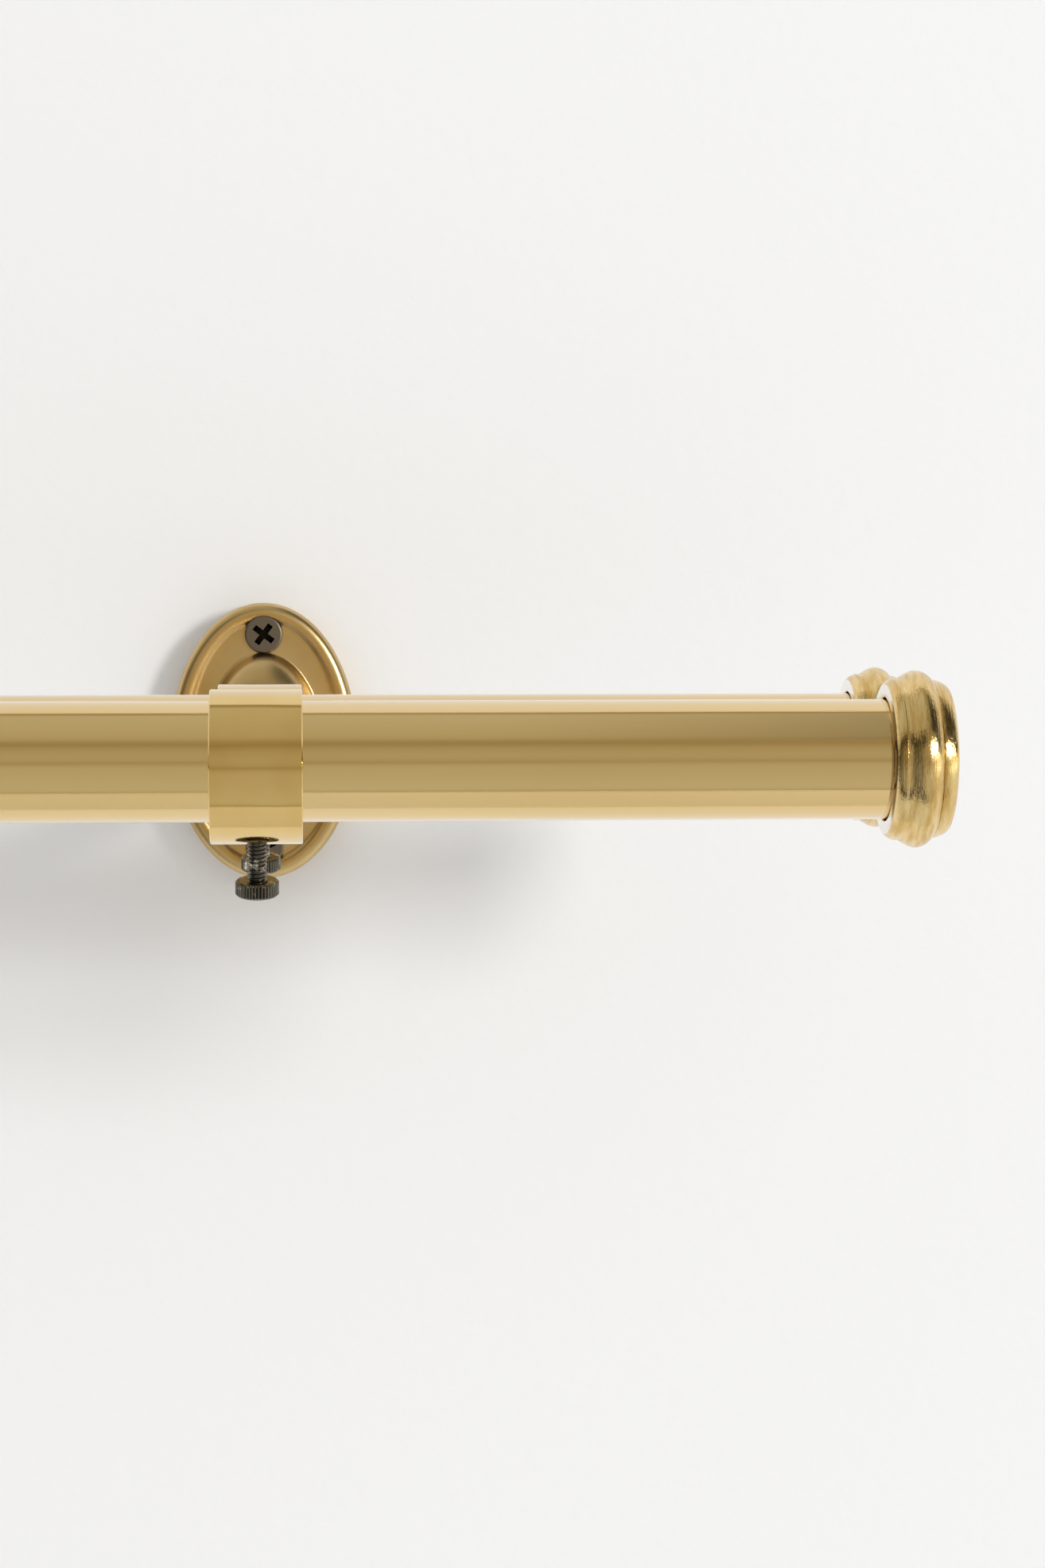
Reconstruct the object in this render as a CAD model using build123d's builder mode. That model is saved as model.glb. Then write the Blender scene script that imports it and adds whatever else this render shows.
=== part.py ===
from build123d import *
import os
from math import cos, radians, sin, sqrt, tan

# Double curtain rod: two telescoping tubes carried one in front of the other
# by a pair of wall brackets. Lengths are millimetres and angles degrees.
# X runs along the rods, -Y points from the wall into the room, +Z is up.
# The origin lies on the wall, midway between the brackets, at arm height.

os.makedirs("parts", exist_ok=True)

# Overall layout
collapsed_length = 711.2
extension_travel = 508.0
bracket_offset = 224.0
rear_projection = 112.0
rod_spacing = 78.0
rod_shift = {"rear": 5.0, "front": 0.0}

# Telescoping tubes
outer_radius = 25.4 / 2
inner_radius = 22.2 / 2
tube_wall = 0.8
running_gap = 0.05
minimum_overlap = 122.0

# Bracket rings
ring_radius = 16.2
ring_bore = 14.0
ring_width = 19.3
ring_edge_radius = 0.4

# Arms between the plate and the rings
post_radius = 6.0
arm_thread_radius = 2.5
arm_thread_depth = 14.0
arm_head_radius = 4.6
arm_head_height = 3.0

# Pressed oval wall plate
plate_half_width = 24.3
plate_half_height = 36.2
sheet = 1.0
rim_radius = 2.0
rim_crest = 12.0
valley_radius = 1.0
lip_width = 6.4
floor_inset = 5.6
floor_height = 9.4
dome_half_width = 14.6
dome_half_height = 22.4
dome_rise = 9.0
dome_flat_width = 6.8
dome_flat_height = 8.4
dome_sections = 6

# Wall screws
wall_screw_offset = 27.9
wall_screw_head = 4.9
wall_screw_edge = 0.5
wall_screw_shank = 2.4
wall_screw_reach = 34.0
wall_screw_hole = 3.25
countersink_half_angle = 41.0
recess_span = 6.2
recess_arm = 1.35
recess_depth = 2.0
recess_taper = 8.0
recess_turns = {"left_upper": 12.0, "left_lower": 71.0, "right_upper": -37.0, "right_lower": 24.0}

# Thumbscrews, leaning back so that the head is nearer the wall
thumb_lean = 12.5
thumb_shank = 2.1
thumb_head_radius = 4.62
thumb_head_height = 3.2
thumb_head_distance = 24.7
thumb_chamfer = 0.45
knurl_teeth = 40
knurl_width = 0.48
seat_gap = 0.15

# Turned end-cap finials
finial_length = 13.9
finial_socket_depth = 8.4
finial_socket_gap = 0.35
finial_seat_gap = 0.3
stud_radius = 2.4
stud_grip = 3.5
stud_reach = 12.0

# Nylon pieces inside the tubes
plug_length = 15.0
bush_length = 12.0
bush_flange = 0.8
mouth_gap = 0.8
glide_collar = 4.0
glide_spigot = 10.0

# Where each rod runs: its ring centre, then the axis of the tube, which the
# thumbscrew pushes up against the far side of the ring
lean_y = sin(radians(thumb_lean))
lean_z = -cos(radians(thumb_lean))
tube_lift = ring_bore - outer_radius - seat_gap
tube_shift_y = -tube_lift * lean_y
tube_height = -tube_lift * lean_z
ring_projection = {"rear": rear_projection, "front": rear_projection + rod_spacing}
bracket_x = {"left": -bracket_offset, "right": bracket_offset}

# Stations along X
finial_back = collapsed_length / 2
tube_end = finial_back + finial_socket_depth - finial_seat_gap
mouth_end = finial_back - mouth_gap - bush_flange
inner_hidden_end = extension_travel - mouth_end + minimum_overlap


# Plane of the wall at a bracket, height measured into the room
def wall_plane(x):
    return Plane(origin=(x, 0, 0), x_dir=(1, 0, 0), z_dir=(0, -1, 0))


# Plane across a rod at station x, its origin on the tube's axis, +X along it.
# The rods don't hang quite end to end: one is pushed further along its rings.
def rod_plane(rod, x):
    axis_y = tube_shift_y - ring_projection[rod]
    return Plane(origin=(x + rod_shift[rod], axis_y, tube_height), x_dir=(0, 1, 0), z_dir=(1, 0, 0))


# Plane at a ring's centre whose normal runs down the leaning thumbscrew
def thumb_plane(rod, x):
    centre = (x, -ring_projection[rod], 0)
    return Plane(origin=centre, x_dir=(1, 0, 0), z_dir=(0, lean_y, lean_z))


# Half size of the dome's outline and its height at a fraction of its climb
def dome_station(fraction, skin):
    angle = radians(90 * fraction)
    width = dome_flat_width + (dome_half_width - dome_flat_width) * cos(angle) - skin
    height = dome_flat_height + (dome_half_height - dome_flat_height) * cos(angle) - skin
    rise = floor_height + (dome_rise - skin) * sin(angle)
    return width, height, rise


def save(piece, node):
    piece.label = node
    export_step(piece, f"parts/{node}.step")


dome_top = floor_height + dome_rise

# Centres of the rim's two arcs, crest and valley, measured in from the plate's
# edge and up from the wall, and the line between them where the arcs meet
crest_base = rim_crest - rim_radius
valley_base = floor_height + valley_radius
arc_span = rim_radius + valley_radius
valley_inset = rim_radius + sqrt(arc_span**2 - (valley_base - crest_base) ** 2)
meet_run = (valley_inset - rim_radius) / arc_span
meet_climb = (valley_base - crest_base) / arc_span


# Point on a line between the centres, at a distance from the crest's centre
def rim_meeting(distance):
    return rim_radius + distance * meet_run, crest_base + distance * meet_climb


# Middle of the valley's arc for a radius about the valley's centre
def valley_middle(radius):
    return valley_inset - radius * cos(radians(41)), valley_base - radius * sin(radians(41))


# Pressed oval wall plates, hollow behind: rolled rim, recess and domed boss
for side, x in bracket_x.items():
    wall = wall_plane(x)
    rim_section = Plane(origin=(x + plate_half_width, 0, 0), x_dir=(-1, 0, 0), z_dir=(0, 0, 1))
    floor_back = floor_height - sheet
    with BuildPart() as wall_plate:
        with BuildLine(wall) as rim_path:
            EllipticalCenterArc((0, 0), plate_half_width, plate_half_height, arc_size=360)
        with BuildSketch(rim_section) as rim_profile:
            with BuildLine():
                skirt = Line((0, 0), (0, crest_base))
                crest = ThreePointArc(skirt @ 1, (rim_radius, rim_crest), rim_meeting(rim_radius))
                valley = ThreePointArc(crest @ 1, valley_middle(valley_radius), (valley_inset, floor_height))
                lip = Line(valley @ 1, (lip_width, floor_height))
                lip_end = Line(lip @ 1, (lip_width, floor_back))
                lip_back = Line(lip_end @ 1, (valley_inset, floor_back))
                under_meeting = rim_meeting(rim_radius - sheet)
                valley_back = ThreePointArc(lip_back @ 1, valley_middle(valley_radius + sheet), under_meeting)
                crest_top = (rim_radius, rim_crest - sheet)
                crest_back = ThreePointArc(valley_back @ 1, crest_top, (sheet, crest_base))
                skirt_back = Line(crest_back @ 1, (sheet, 0))
                Line(skirt_back @ 1, skirt @ 0)
            make_face()
        sweep(path=rim_path.wire())
        with BuildSketch(wall.offset(floor_back)):
            Ellipse(plate_half_width - floor_inset, plate_half_height - floor_inset)
        extrude(amount=sheet)
        for step in range(dome_sections):
            width, height, rise = dome_station(step / (dome_sections - 1), 0)
            with BuildSketch(wall.offset(rise)):
                Ellipse(width, height)
        loft()
        with BuildSketch(wall):
            Ellipse(dome_half_width - sheet, dome_half_height - sheet)
        extrude(amount=floor_height, mode=Mode.SUBTRACT)
        for step in range(dome_sections):
            width, height, rise = dome_station(step / (dome_sections - 1), sheet)
            with BuildSketch(wall.offset(rise)):
                Ellipse(width, height)
        loft(mode=Mode.SUBTRACT)
        with BuildSketch(wall):
            Circle(arm_thread_radius + running_gap)
            with Locations((0, wall_screw_offset), (0, -wall_screw_offset)):
                Circle(wall_screw_hole)
        extrude(amount=dome_top + sheet, mode=Mode.SUBTRACT)
    save(wall_plate.part, f"{side}_wall_plate")


# Brazed arms: one from the plate to the rear ring, one from ring to ring,
# their ends coped to the round of the rings
for side, x in bracket_x.items():
    with BuildPart() as rear_post:
        with BuildSketch(wall_plane(x).offset(dome_top)):
            Circle(post_radius)
        extrude(amount=ring_projection["rear"] - dome_top)
        with BuildSketch(wall_plane(x).offset(dome_top)):
            Circle(arm_thread_radius)
        extrude(amount=arm_thread_depth, mode=Mode.SUBTRACT)
        with BuildSketch(Plane.YZ.offset(x - ring_width)):
            with Locations((-ring_projection["rear"], 0)):
                Circle(ring_radius)
        extrude(amount=2 * ring_width, mode=Mode.SUBTRACT)
    save(rear_post.part, f"{side}_rear_post")

    with BuildPart() as front_post:
        with BuildSketch(wall_plane(x).offset(ring_projection["rear"])):
            Circle(post_radius)
        extrude(amount=rod_spacing)
        with BuildSketch(Plane.YZ.offset(x - ring_width)):
            with Locations((-ring_projection["rear"], 0), (-ring_projection["front"], 0)):
                Circle(ring_radius)
        extrude(amount=2 * ring_width, mode=Mode.SUBTRACT)
    save(front_post.part, f"{side}_front_post")

    # Pan-head screw inside the dome that pulls the arm onto the plate
    with BuildPart() as arm_screw:
        head_seat = dome_top - sheet
        with BuildSketch(wall_plane(x).offset(head_seat - arm_head_height)):
            Circle(arm_head_radius)
        extrude(amount=arm_head_height)
        head_rim = arm_screw.edges().filter_by(GeomType.CIRCLE).sort_by(Axis.Y)[-1]
        fillet(head_rim, radius=1.2)
        with BuildSketch(wall_plane(x).offset(head_seat)):
            Circle(arm_thread_radius)
        extrude(amount=sheet + arm_thread_depth - 1)
    save(arm_screw.part, f"{side}_arm_screw")


# Rings cut from thick tube, eased at the edges and tapped for a thumbscrew
for side, x in bracket_x.items():
    for rod, projection in ring_projection.items():
        with BuildPart() as ring:
            with BuildSketch(Plane.YZ.offset(x - ring_width / 2)):
                with Locations((-projection, 0)):
                    Circle(ring_radius)
                    Circle(ring_bore, mode=Mode.SUBTRACT)
            extrude(amount=ring_width)
            fillet(ring.edges().filter_by(GeomType.CIRCLE), radius=ring_edge_radius)
            with BuildSketch(thumb_plane(rod, x)):
                Circle(thumb_shank + running_gap)
            extrude(amount=ring_radius + 1, mode=Mode.SUBTRACT)
        save(ring.part, f"{side}_{rod}_ring")


# Thumbscrews with a straight-knurled head, one under each ring
for side, x in bracket_x.items():
    for rod in ring_projection:
        down = thumb_plane(rod, x)
        tip_distance = outer_radius - tube_lift + seat_gap
        with BuildPart() as thumbscrew:
            with BuildSketch(down.offset(thumb_head_distance)):
                Circle(thumb_head_radius)
                with PolarLocations(thumb_head_radius, knurl_teeth):
                    Rectangle(knurl_width, knurl_width, rotation=45, mode=Mode.SUBTRACT)
            extrude(amount=thumb_head_height)
            with BuildSketch(Plane(origin=down.origin, x_dir=(1, 0, 0), z_dir=down.y_dir)):
                with BuildLine():
                    near = -thumb_head_distance
                    far = near - thumb_head_height
                    face_radius = thumb_head_radius - thumb_chamfer
                    Polyline(
                        (0, near),
                        (face_radius, near),
                        (thumb_head_radius, near - thumb_chamfer),
                        (thumb_head_radius, far + thumb_chamfer),
                        (face_radius, far),
                        (0, far),
                        close=True,
                    )
                make_face()
            revolve(axis=Axis(down.origin, down.z_dir), mode=Mode.INTERSECT)
            with BuildSketch(down.offset(tip_distance)):
                Circle(thumb_shank)
            extrude(amount=thumb_head_distance - tip_distance)
            tip_edge = thumbscrew.edges().filter_by(GeomType.CIRCLE).sort_by(Axis(down.origin, down.z_dir))[0]
            chamfer(tip_edge, length=thumb_chamfer)
        save(thumbscrew.part, f"{side}_{rod}_thumbscrew")


# Wall screws: countersunk heads bearing on the edge of the plate's holes
cone_slope = tan(radians(countersink_half_angle))
head_face = floor_height + (wall_screw_head - wall_screw_hole) / cone_slope + wall_screw_edge
shank_start = floor_height - (wall_screw_hole - wall_screw_shank) / cone_slope
for side, x in bracket_x.items():
    for level, z in (("upper", wall_screw_offset), ("lower", -wall_screw_offset)):
        screw_side = Plane(origin=(x, 0, z), x_dir=(1, 0, 0), z_dir=(0, 0, 1))
        with BuildPart() as wall_screw:
            with BuildSketch(screw_side):
                with BuildLine():
                    Polyline(
                        (0, -head_face),
                        (wall_screw_head, -head_face),
                        (wall_screw_head, wall_screw_edge - head_face),
                        (wall_screw_shank, -shank_start),
                        (wall_screw_shank, wall_screw_reach - 2 * wall_screw_shank),
                        (0.3, wall_screw_reach),
                        (0, wall_screw_reach),
                        close=True,
                    )
                make_face()
            revolve(axis=Axis((x, 0, z), (0, 1, 0)))
            with BuildSketch(Plane(origin=(x, -head_face, z), x_dir=(1, 0, 0), z_dir=(0, -1, 0))):
                turn = recess_turns[f"{side}_{level}"]
                Rectangle(recess_span, recess_arm, rotation=turn)
                Rectangle(recess_arm, recess_span, rotation=turn)
            extrude(amount=-recess_depth, taper=recess_taper, mode=Mode.SUBTRACT)
        save(wall_screw.part, f"{side}_{level}_wall_screw")


# Outline of a finial from its back face to its end, as radius over length:
# a flared collar, a cove, the big bead, a step and a tapered end band
def finial_outline(socket_radius):
    with BuildLine() as outline:
        collar = Line((0, 16.5), (2.9, 17.2))
        cove = ThreePointArc(collar @ 1, (4.0, 17.45), (5.0, 18.1))
        bead = ThreePointArc(cove @ 1, (7.1, 18.8), (9.9, 17.9))
        drop = ThreePointArc(bead @ 1, (10.7, 17.2), (11.3, 16.75))
        band = Line(drop @ 1, (13.1, 16.1))
        edge = ThreePointArc(band @ 1, (13.65, 15.8), (finial_length, 15.2))
        Polyline(
            edge @ 1,
            (finial_length, 0),
            (finial_socket_depth, 0),
            (finial_socket_depth, socket_radius),
            (0, socket_radius),
            collar @ 0,
        )
    return outline


# Rods: outer tube with its right finial, inner tube with its left finial
for rod in ring_projection:
    bore = outer_radius - tube_wall
    inner_bore = inner_radius - tube_wall

    with BuildPart() as outer_tube:
        with BuildSketch(rod_plane(rod, -mouth_end)):
            Circle(outer_radius)
            Circle(bore, mode=Mode.SUBTRACT)
        extrude(amount=mouth_end + tube_end)
    save(outer_tube.part, f"{rod}_outer_tube")

    with BuildPart() as inner_tube:
        with BuildSketch(rod_plane(rod, -tube_end)):
            Circle(inner_radius)
            Circle(inner_bore, mode=Mode.SUBTRACT)
        extrude(amount=tube_end + inner_hidden_end)
    save(inner_tube.part, f"{rod}_inner_tube")

    # Flanged nylon bush in the outer tube's mouth
    with BuildPart() as mouth_bush:
        with BuildSketch(rod_plane(rod, -mouth_end)):
            Circle(bore)
        extrude(amount=bush_length)
        with BuildSketch(rod_plane(rod, -mouth_end - bush_flange)):
            Circle(outer_radius)
        extrude(amount=bush_flange)
        with BuildSketch(rod_plane(rod, -mouth_end - bush_flange)):
            Circle(inner_radius + running_gap)
        extrude(amount=bush_flange + bush_length, mode=Mode.SUBTRACT)
    save(mouth_bush.part, f"{rod}_mouth_bush")

    # Nylon glide on the inner tube's hidden end
    with BuildPart() as glide_ring:
        with BuildSketch(rod_plane(rod, inner_hidden_end)):
            Circle(bore - running_gap)
        extrude(amount=glide_collar)
        with BuildSketch(rod_plane(rod, inner_hidden_end - glide_spigot)):
            Circle(inner_bore)
        extrude(amount=glide_spigot)
        with BuildSketch(rod_plane(rod, inner_hidden_end - glide_spigot)):
            Circle(inner_bore - 1.6)
        extrude(amount=glide_spigot + glide_collar, mode=Mode.SUBTRACT)
    save(glide_ring.part, f"{rod}_glide_ring")

    for side, outward, plug_radius, socket_radius in (
        ("right", 1, bore, outer_radius + finial_socket_gap),
        ("left", -1, inner_bore, inner_radius + finial_socket_gap),
    ):
        # Threaded plug pressed into the end of the tube
        with BuildPart() as end_plug:
            with BuildSketch(rod_plane(rod, outward * tube_end)):
                Circle(plug_radius)
                Circle(stud_radius + running_gap, mode=Mode.SUBTRACT)
            extrude(amount=-outward * plug_length)
        save(end_plug.part, f"{rod}_{side}_end_plug")

        # Turned finial with a blind socket for the tube and a tapped hole
        back_centre = rod_plane(rod, outward * finial_back).origin
        turning_plane = Plane(origin=back_centre, x_dir=(outward, 0, 0), z_dir=(0, -outward, 0))
        finial_axis = Axis(back_centre, (1, 0, 0))
        with BuildPart() as finial:
            with BuildSketch(turning_plane):
                add(finial_outline(socket_radius).line)
                make_face()
            revolve(axis=finial_axis)
            with BuildSketch(rod_plane(rod, outward * (finial_back + finial_socket_depth))):
                Circle(stud_radius)
            extrude(amount=outward * stud_grip, mode=Mode.SUBTRACT)
        save(finial.part, f"{rod}_{side}_finial")

        # Stud that screws the finial into the plug
        with BuildPart() as finial_stud:
            with BuildSketch(rod_plane(rod, outward * (finial_back + finial_socket_depth + stud_grip))):
                Circle(stud_radius)
            extrude(amount=-outward * (stud_grip + finial_seat_gap + stud_reach))
        save(finial_stud.part, f"{rod}_{side}_finial_stud")
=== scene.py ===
from math import asin, cos, pi, radians, sin

import bpy
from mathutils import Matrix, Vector


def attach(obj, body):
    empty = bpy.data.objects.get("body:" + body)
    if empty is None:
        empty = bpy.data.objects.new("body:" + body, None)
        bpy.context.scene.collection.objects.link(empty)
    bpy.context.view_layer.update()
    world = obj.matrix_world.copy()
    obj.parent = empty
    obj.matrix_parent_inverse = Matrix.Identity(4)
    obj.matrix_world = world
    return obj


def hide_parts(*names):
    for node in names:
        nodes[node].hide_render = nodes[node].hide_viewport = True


# Double curtain rod, closed, on a pale wall. Metres; +X along the rods, -Y into the room, +Z up.

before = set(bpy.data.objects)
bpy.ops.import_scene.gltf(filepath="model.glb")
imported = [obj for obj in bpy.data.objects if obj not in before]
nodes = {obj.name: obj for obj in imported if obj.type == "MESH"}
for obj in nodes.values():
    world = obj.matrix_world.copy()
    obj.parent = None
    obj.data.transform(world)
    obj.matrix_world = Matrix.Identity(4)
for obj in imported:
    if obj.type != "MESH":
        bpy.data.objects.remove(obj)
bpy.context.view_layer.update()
print("frame loaded,", len(nodes), "nodes")


# A Wire is one output socket, and sums written with it add Math nodes
class Wire:
    def __init__(self, finish, socket):
        self.finish = finish
        self.socket = socket

    def other(self, output):
        return Wire(self.finish, self.socket.node.outputs[output])

    def maths(self, operation, first, second):
        return self.finish.node("ShaderNodeMath", {"operation": operation}, {0: first, 1: second})

    def __add__(self, value):
        return self.maths("ADD", self, value)

    def __radd__(self, value):
        return self.maths("ADD", value, self)

    def __sub__(self, value):
        return self.maths("SUBTRACT", self, value)

    def __rsub__(self, value):
        return self.maths("SUBTRACT", value, self)

    def __mul__(self, value):
        return self.maths("MULTIPLY", self, value)

    def __rmul__(self, value):
        return self.maths("MULTIPLY", value, self)

    def __truediv__(self, value):
        return self.maths("DIVIDE", self, value)

    def __abs__(self):
        return self.maths("ABSOLUTE", self, 0.0)


# A Finish adds the nodes of one material or world
class Finish:
    def __init__(self, tree):
        self.tree = tree
        tree.nodes.clear()

    def node(self, kind, settings=None, inputs=None, output=0):
        made = self.tree.nodes.new(kind)
        for name, value in (settings or {}).items():
            if name == "stops":
                self.setStops(made.color_ramp.elements, value)
            else:
                setattr(made, name, value)
        for name, value in (inputs or {}).items():
            if isinstance(value, Wire):
                self.tree.links.new(value.socket, made.inputs[name])
            else:
                made.inputs[name].default_value = value
        return Wire(self, made.outputs[output]) if len(made.outputs) else None

    def setStops(self, elements, stops):
        while len(elements) > 1:
            elements.remove(elements[-1])
        elements[0].position = stops[0][0]
        elements[0].color = stops[0][1]
        for place, color in stops[1:]:
            elements.new(place).color = color

    def place(self, scale=(1, 1, 1), shift=(0, 0, 0)):
        spot = self.node("ShaderNodeTexCoord", output="Object")
        return self.node("ShaderNodeMapping", {}, {"Vector": spot, "Scale": scale, "Location": shift})

    # Cloudy noise, its scale in cells per metre along each axis
    def noise(self, scale, shift=(0, 0, 0), detail=2.0, roughness=0.5):
        inputs = {"Vector": self.place(scale, shift), "Scale": 1.0, "Detail": detail, "Roughness": roughness}
        return self.node("ShaderNodeTexNoise", {}, inputs)

    def specks(self, scale, shift=(0, 0, 0)):
        return self.node("ShaderNodeTexVoronoi", {}, {"Vector": self.place(scale, shift), "Scale": 1.0})

    # Level between two values of a wire, squeezed to 0...1
    def between(self, value, low, high):
        inputs = {"Value": value, "From Min": low, "From Max": high}
        return self.node("ShaderNodeMapRange", {"interpolation_type": "SMOOTHSTEP"}, inputs)

    def larger(self, first, second):
        return self.node("ShaderNodeMath", {"operation": "MAXIMUM"}, {0: first, 1: second})

    def openness(self, reach, samples):
        return self.node("ShaderNodeAmbientOcclusion", {"samples": samples}, {"Distance": reach}, "AO")

    def blendColor(self, mask, first, second):
        return self.node("ShaderNodeMix", {"data_type": "RGBA"}, {0: mask, 6: first, 7: second}, 2)

    def blendShader(self, mask, first, second):
        return self.node("ShaderNodeMixShader", {}, {0: mask, 1: first, 2: second})

    def bump(self, height, distance, strength=1.0, under=None):
        inputs = {"Height": height, "Distance": distance, "Strength": strength}
        if under is not None:
            inputs["Normal"] = under
        return self.node("ShaderNodeBump", {}, inputs)

    def shader(self, color, roughness, metallic, normal, **fixed):
        inputs = {"Base Color": color, "Roughness": roughness, "Metallic": metallic, "Normal": normal}
        inputs.update(fixed)
        skin = self.node("ShaderNodeBsdfPrincipled", {}, inputs)
        self.node("ShaderNodeOutputMaterial", {}, {"Surface": skin})


def newMaterial(name):
    material = bpy.data.materials.new(name)
    material.use_nodes = True
    return material, Finish(material.node_tree)


# Camera: in front of the right-hand bracket, turned a little to the right and down, in degrees
viewpoint = {
    "place": (0.23209, -0.8913, 0.02661),
    "turn": 3.89,
    "dip": 2.481,
    "tilt": 0.079,
    "lens": 76.9,
    "sensor": 36.0,
    "nearest": 0.01,
}
bpy.ops.object.select_all(action="DESELECT")
bpy.ops.object.camera_add(location=viewpoint["place"])
camera = bpy.context.active_object
camera.name = "photograph_view"
camera.rotation_euler = (
    radians(90 - viewpoint["dip"]),
    radians(viewpoint["tilt"]),
    radians(-viewpoint["turn"]),
)
camera.data.sensor_fit = "VERTICAL"
camera.data.sensor_height = viewpoint["sensor"]
camera.data.lens = viewpoint["lens"]
camera.data.clip_start = viewpoint["nearest"]
bpy.context.scene.camera = camera
print("camera placed")


# Room round the object. The skyline's steps are degrees above the way into the room, and the brightness
# there. Each shade dims or brightens a stretch of it off to one side, left being negative.
room = {
    "skyline": (
        (-90, 0.78), (-76, 0.765), (-60.5, 0.79), (-59.5, 0.47), (-57.5, 0.47), (-55.5, 0.60), (-48, 0.614),
        (-35, 0.59), (-23, 0.57), (-10, 0.556), (-5.5, 0.52), (-2, 0.47), (-0.8, 0.405), (0.4, 0.405),
        (1.6, 0.475), (7, 0.505), (14, 0.51), (24, 0.475), (30, 0.42), (33, 0.375), (35, 0.375), (37, 0.40),
        (40, 0.42), (45, 0.505), (51, 0.53), (80, 0.575), (90, 0.585), (99.5, 0.59), (101, 0.40),
        (106, 0.42), (180, 0.55),
    ),
    "shades": (
        {"from": 36, "to": 104, "soft": 8, "near": 0.05, "far": 0.34, "depth": 0.72},
        {"from": 17, "to": 42, "soft": 6, "near": -0.14, "far": -0.34, "depth": 0.86},
        {"from": -78, "to": -42, "soft": 6, "near": -0.10, "far": -0.28, "depth": 0.92},
        {"from": -62, "to": -8, "soft": 12, "near": 0.50, "far": 0.80, "depth": -0.60},
        {"from": 16, "to": 96, "soft": 9, "near": 0.26, "far": 0.50, "depth": 0.74},
        {"from": -60, "to": 26, "soft": 9, "near": -0.44, "far": -0.62, "depth": 0.62},
        {"from": -33, "to": 30, "soft": 13, "near": 0.74, "far": 0.90, "depth": -2.4},
        {"from": -64, "to": 46, "soft": 12, "near": -0.78, "far": -0.93, "depth": 0.62},
    ),
    "ambient": (0.752, 0.753, 0.752, 1),
    "backdrop": (0.870, 0.870, 0.866, 1),
    "dimmest": 0.375,
    "greenShare": (0.857, 0.55),
    "blueShare": (0.55, 1.45),
}


# The dimmer the room, the warmer it is
def roomColor(level):
    rise = level - room["dimmest"]
    green, blue = (low + slope * rise for low, slope in (room["greenShare"], room["blueShare"]))
    return (level, level * min(green, 1.0), level * min(blue, 1.0), 1)


def buildRoomLight():
    world = bpy.data.worlds.new("room")
    world.use_nodes = True
    bpy.context.scene.world = world
    sky = Finish(world.node_tree)
    way = sky.node("ShaderNodeTexCoord", output="Generated")
    sideways = sky.node("ShaderNodeSeparateXYZ", {}, {0: way})
    outward = 0 - sideways.other("Y")
    climb = sky.node("ShaderNodeMath", {"operation": "ARCTAN2"}, {0: sideways.other("Z"), 1: outward})
    climb = climb * (180 / pi)
    stops = [((angle + 180) / 360, roomColor(level)) for angle, level in room["skyline"]]
    bands = sky.node("ShaderNodeValToRGB", {"stops": stops}, {0: climb / 360 + 0.5})
    strength = 1.0
    for shade in room["shades"]:
        rising = sky.between(climb, shade["from"], shade["from"] + shade["soft"])
        falling = sky.between(climb, shade["to"] - shade["soft"], shade["to"])
        aside = sky.between(sideways, shade["near"], shade["far"])
        strength = strength * (1 - (rising - falling) * aside * shade["depth"])
    glossy = sky.node("ShaderNodeLightPath", output="Is Glossy Ray")
    glow = sky.node("ShaderNodeBackground", {}, {"Color": bands, "Strength": strength})
    soft = sky.node("ShaderNodeBackground", {}, {"Color": room["ambient"], "Strength": 1.0})
    plain = sky.node("ShaderNodeBackground", {}, {"Color": room["backdrop"], "Strength": 1.0})
    light = sky.blendShader(glossy, soft, glow)
    mixed = sky.blendShader(glossy.other("Is Camera Ray"), light, plain)
    sky.node("ShaderNodeOutputWorld", {}, {"Surface": mixed})


# Key light: a soft panel up and to the right, out in the room
keyLight = {
    "place": (2.41, -2.64, 0.76),
    "aim": (0.27, -0.1, -0.02),
    "width": 0.60,
    "height": 0.76,
    "power": 52.0,
    "color": (1.0, 0.995, 0.985),
}


def addKeyLight():
    bpy.ops.object.light_add(type="AREA", location=keyLight["place"])
    lamp = bpy.context.active_object
    lamp.name = "key_light"
    lamp.data.shape = "RECTANGLE"
    lamp.data.size = keyLight["width"]
    lamp.data.size_y = keyLight["height"]
    lamp.data.energy = keyLight["power"]
    lamp.data.color = keyLight["color"]
    reach = Vector(keyLight["aim"]) - Vector(keyLight["place"])
    lamp.rotation_euler = reach.to_track_quat("-Z", "Y").to_euler()
    lamp.visible_camera = False


# Painted wall and pale floor, seen only from their fronts
stageSizes = {"wallTop": 0.66, "floorLevel": -1.2, "halfWidth": 3.4, "floorReach": 0.91}
wallLook = {
    "light": (0.876, 0.878, 0.879, 1),
    "dull": (0.868, 0.869, 0.869, 1),
    "sideFade": (1.3, 2.4),
    "middle": -0.27,
    "heightFade": (0.6, 0.9),
    "plateAside": 0.224,
    "plateOval": (0.0234, 0.0353),
}
floorLook = {"light": (0.82, 0.815, 0.80, 1), "dull": (0.79, 0.785, 0.77, 1)}


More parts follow.
